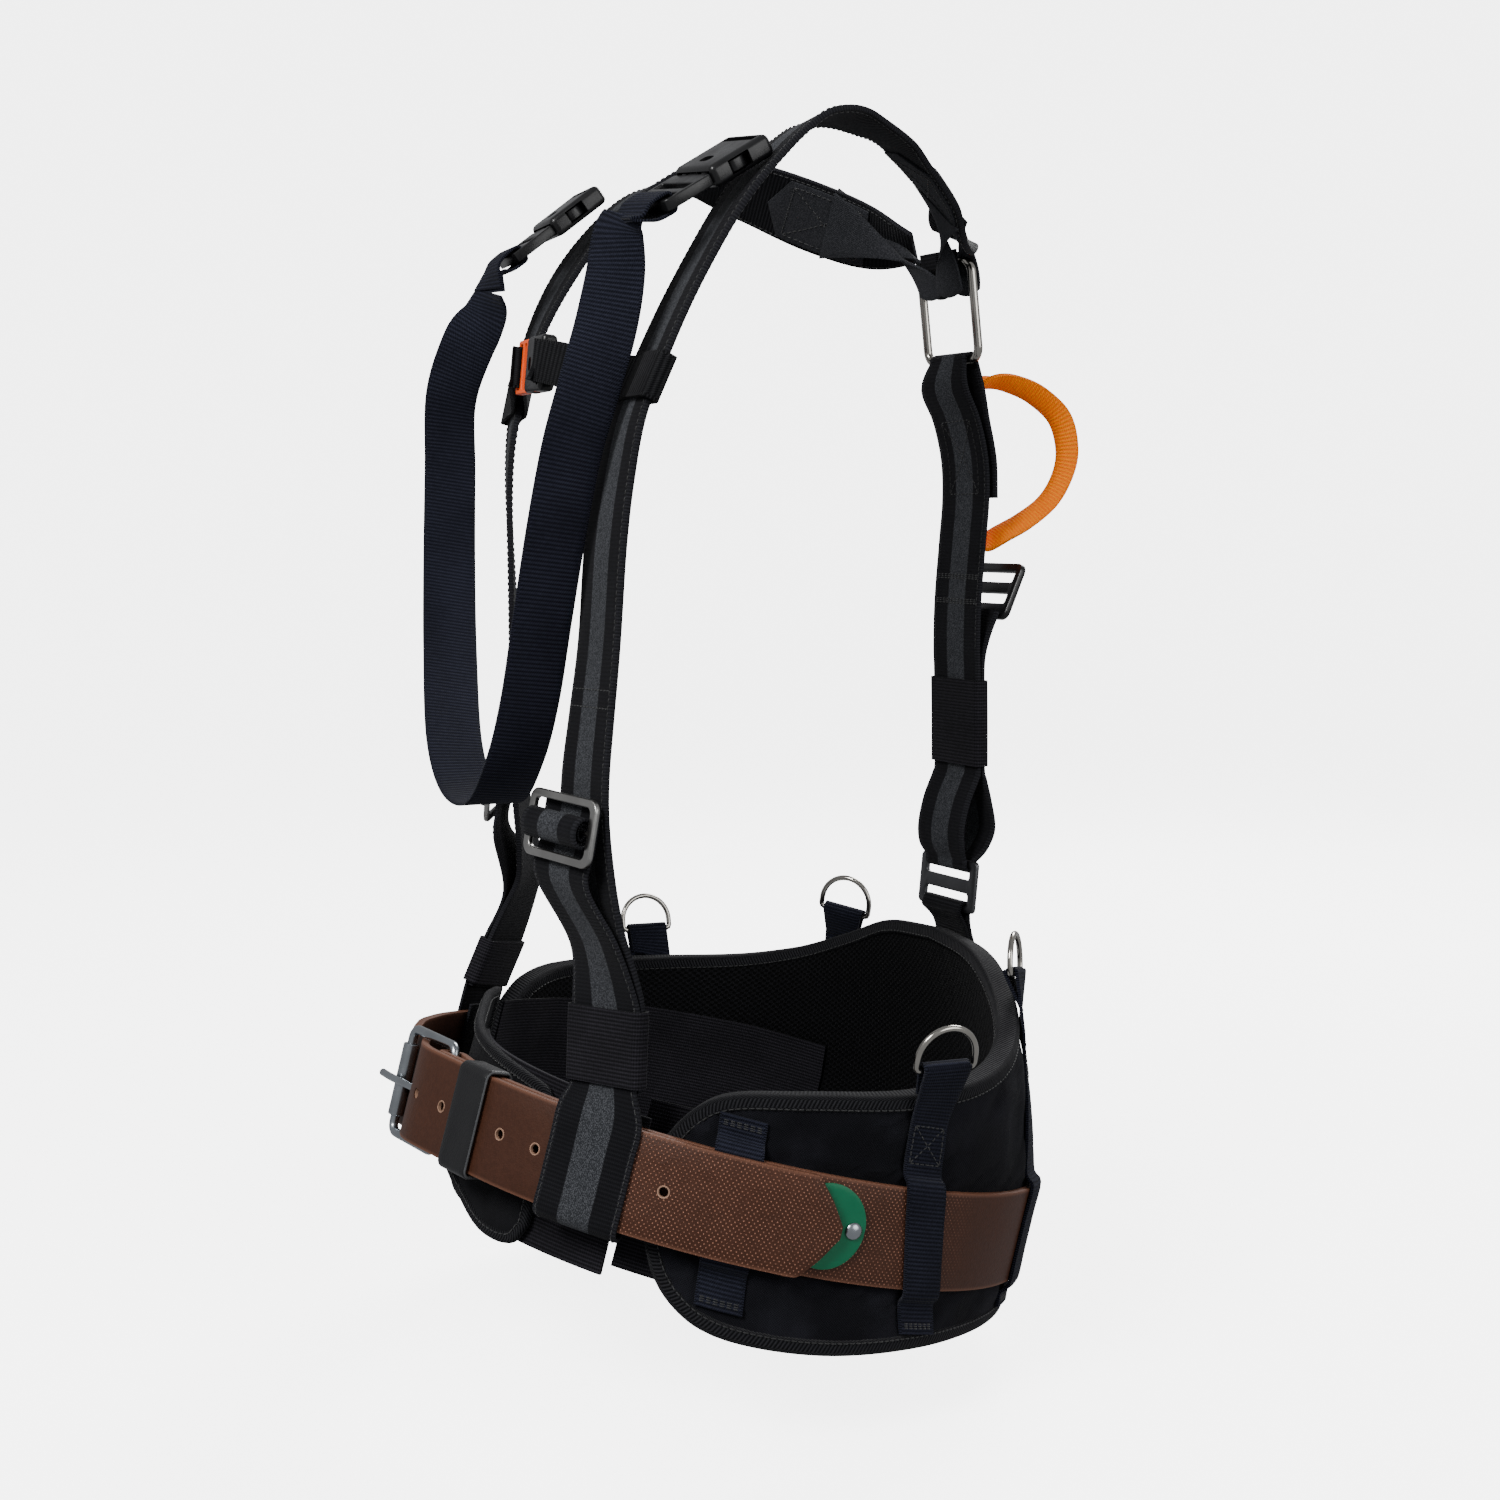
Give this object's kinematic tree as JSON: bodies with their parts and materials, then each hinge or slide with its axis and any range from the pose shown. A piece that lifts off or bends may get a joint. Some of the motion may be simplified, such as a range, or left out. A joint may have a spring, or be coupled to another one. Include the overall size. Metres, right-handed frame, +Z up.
{
  "type": "safety harness",
  "caption": "Tool support harness: padded waist belt with a leather tool belt, shoulder straps, chest buckle, D-rings, rear drag handle and steel hardware.",
  "frame": {"origin": "middle of the waist, level with the middle of the leather belt", "axes": "+Z up as worn, -Y the way the wearer faces, +X the wearer's left"},
  "size_m": [0.4084, 0.406, 0.6372],
  "materials": {
    "zinc_steel": "satin",
    "black_leather": "satin",
    "black_webbing": "matt",
    "green_plastic": "satin",
    "navy_webbing": "matt",
    "black_plastic": "satin",
    "orange_plastic": "satin",
    "knit_webbing": "matt",
    "flap_fabric": "matt",
    "polished_nickel": "polished",
    "orange_webbing": "matt",
    "hook_tape": "matt",
    "brown_leather": "satin",
    "binding_tape": "matt",
    "outer_fabric": "matt",
    "closed_cell_foam": "matt",
    "spacer_mesh": "matt",
    "black_steel": "satin",
    "ribbed_elastic": "matt",
    "strap_webbing": "matt",
    "satin_nickel": "satin"
  },
  "bodies": {
    "harness": {"belt_buckle_frame": "zinc_steel", "belt_loop_front_left": "black_webbing", "belt_loop_front_right": "black_webbing", "carry_strap": "navy_webbing", "chest_buckle_female": "black_plastic", "chest_buckle_male": "orange_plastic", "chest_strap_left": "knit_webbing", "chest_strap_right": "knit_webbing", "closure_flap": "flap_fabric", "drag_handle": "orange_webbing", "hook_panel": "hook_tape", "leather_belt": "brown_leather", "lower_strap_left": "black_webbing", "lower_strap_right": "black_webbing", "pad_binding": "binding_tape", "pad_cover": "outer_fabric", "pad_foam": "closed_cell_foam", "pad_lining": "spacer_mesh", "rear_adjuster": "black_plastic", "rear_plate": "black_steel", "rear_ring": "polished_nickel", "rear_sleeve": "ribbed_elastic", "rear_strap": "black_webbing", "rear_tab": "black_webbing", "ring_tab_back_left": "black_webbing", "ring_tab_back_right": "black_webbing", "ring_tab_side_left": "black_webbing", "ring_tab_side_right": "black_webbing", "shoulder_left_buckle_female": "black_plastic", "shoulder_left_buckle_male": "black_plastic", "shoulder_right_buckle_female": "black_plastic", "shoulder_right_buckle_male": "black_plastic", "shoulder_strap_left": "strap_webbing", "shoulder_strap_right": "strap_webbing", "strap_sleeve_left": "ribbed_elastic", "strap_sleeve_right": "ribbed_elastic", "tag_rivet": "zinc_steel", "waist_elastic_left": "ribbed_elastic", "waist_elastic_right": "ribbed_elastic", "yoke_fold_left": "black_webbing", "yoke_fold_right": "black_webbing"},
    "roller": {"buckle_roller": "zinc_steel"},
    "prong": {"buckle_prong": "zinc_steel"},
    "keeper": {"belt_keeper": "black_leather"},
    "tag": {"belt_tag": "green_plastic"},
    "ring_side_left": {"d_ring_side_left": "polished_nickel"},
    "ring_side_right": {"d_ring_side_right": "polished_nickel"},
    "ring_back_left": {"d_ring_back_left": "polished_nickel"},
    "ring_back_right": {"d_ring_back_right": "polished_nickel"},
    "slider_left": {"slide_buckle_left": "satin_nickel", "strap_roll_left": "black_webbing"},
    "slider_right": {"slide_buckle_right": "satin_nickel", "strap_roll_right": "black_webbing"},
    "chest_prong_front_body": {"chest_prong_front": "orange_plastic"},
    "chest_prong_rear_body": {"chest_prong_rear": "orange_plastic"},
    "shoulder_left_prong_front_body": {"shoulder_left_prong_front": "black_plastic"},
    "shoulder_left_prong_rear_body": {"shoulder_left_prong_rear": "black_plastic"},
    "shoulder_right_prong_front_body": {"shoulder_right_prong_front": "black_plastic"},
    "shoulder_right_prong_rear_body": {"shoulder_right_prong_rear": "black_plastic"}
  },
  "joints": [
    {"name": "buckle_roller_turn", "type": "hinge", "parent": "harness", "child": "roller", "pos_m": [-0.0257, -0.19219, 0.04499], "axis": [-0.0243, 0.2537, 0.967], "continuous": true},
    {"name": "buckle_prong_lift", "type": "hinge", "parent": "harness", "child": "prong", "pos_m": [0.01927, -0.18263, 0.04361], "axis": [-0.0243, 0.2537, 0.967], "range_deg": [0, 2]},
    {"name": "keeper_shift", "type": "hinge", "parent": "harness", "child": "keeper", "pos_m": [-0.00843, 0.00049, -0.00545], "axis": [0, 0.2588, 0.9659], "range_deg": [-1, 1]},
    {"name": "tag_swing", "type": "hinge", "parent": "harness", "child": "tag", "pos_m": [0.18581, -0.02854, 0.00336], "axis": [0.9976, -0.0671, 0.018], "range_deg": [-10, 10]},
    {"name": "d_ring_side_left_swing", "type": "hinge", "parent": "harness", "child": "ring_side_left", "pos_m": [0.19719, 0.01467, 0.08133], "axis": [0.0029, 0.9998, -0.0183], "range_deg": [-15, 95]},
    {"name": "d_ring_side_right_swing", "type": "hinge", "parent": "harness", "child": "ring_side_right", "pos_m": [-0.19719, 0.01467, 0.08133], "axis": [0.0029, -0.9998, 0.0183], "range_deg": [-15, 95]},
    {"name": "d_ring_back_left_swing", "type": "hinge", "parent": "harness", "child": "ring_back_left", "pos_m": [0.10295, 0.10998, 0.10135], "axis": [-0.7429, 0.6443, -0.1816], "range_deg": [-15, 95]},
    {"name": "d_ring_back_right_swing", "type": "hinge", "parent": "harness", "child": "ring_back_right", "pos_m": [-0.10295, 0.10998, 0.10135], "axis": [-0.7429, -0.6443, 0.1816], "range_deg": [-15, 95]},
    {"name": "slide_buckle_left_slide", "type": "slide", "parent": "harness", "child": "slider_left", "axis": [-0.0063, 0.1755, 0.9845], "range_m": [-0.008, 0.008]},
    {"name": "slide_buckle_right_slide", "type": "slide", "parent": "harness", "child": "slider_right", "axis": [0.0766, 0.0592, 0.9953], "range_m": [-0.008, 0.008]},
    {"name": "chest_prong_front_squeeze", "type": "hinge", "parent": "harness", "child": "chest_prong_front_body", "pos_m": [0.00154, -0.12326, 0.43114], "axis": [0.0199, 0.9948, -0.0995], "range_deg": [0, 7], "stiffness_Nm_per_rad": 0.2},
    {"name": "chest_prong_rear_squeeze", "type": "hinge", "parent": "harness", "child": "chest_prong_rear_body", "pos_m": [0.00151, -0.12478, 0.41586], "axis": [-0.0199, -0.9948, 0.0995], "range_deg": [0, 7], "stiffness_Nm_per_rad": 0.2},
    {"name": "shoulder_left_prong_front_squeeze", "type": "hinge", "parent": "harness", "child": "shoulder_left_prong_front_body", "pos_m": [0.11806, -0.07491, 0.50608], "axis": [0.1421, -0.5108, 0.8479], "range_deg": [0, 7], "stiffness_Nm_per_rad": 0.2},
    {"name": "shoulder_left_prong_rear_squeeze", "type": "hinge", "parent": "harness", "child": "shoulder_left_prong_rear_body", "pos_m": [0.09789, -0.07677, 0.50833], "axis": [-0.1421, 0.5108, -0.8479], "range_deg": [0, 7], "stiffness_Nm_per_rad": 0.2},
    {"name": "shoulder_right_prong_front_squeeze", "type": "hinge", "parent": "harness", "child": "shoulder_right_prong_front_body", "pos_m": [-0.09778, -0.07925, 0.50739], "axis": [-0.0245, -0.6084, 0.7932], "range_deg": [0, 7], "stiffness_Nm_per_rad": 0.2},
    {"name": "shoulder_right_prong_rear_squeeze", "type": "hinge", "parent": "harness", "child": "shoulder_right_prong_rear_body", "pos_m": [-0.11816, -0.0786, 0.50726], "axis": [0.0245, 0.6084, -0.7932], "range_deg": [0, 7], "stiffness_Nm_per_rad": 0.2}
  ]
}
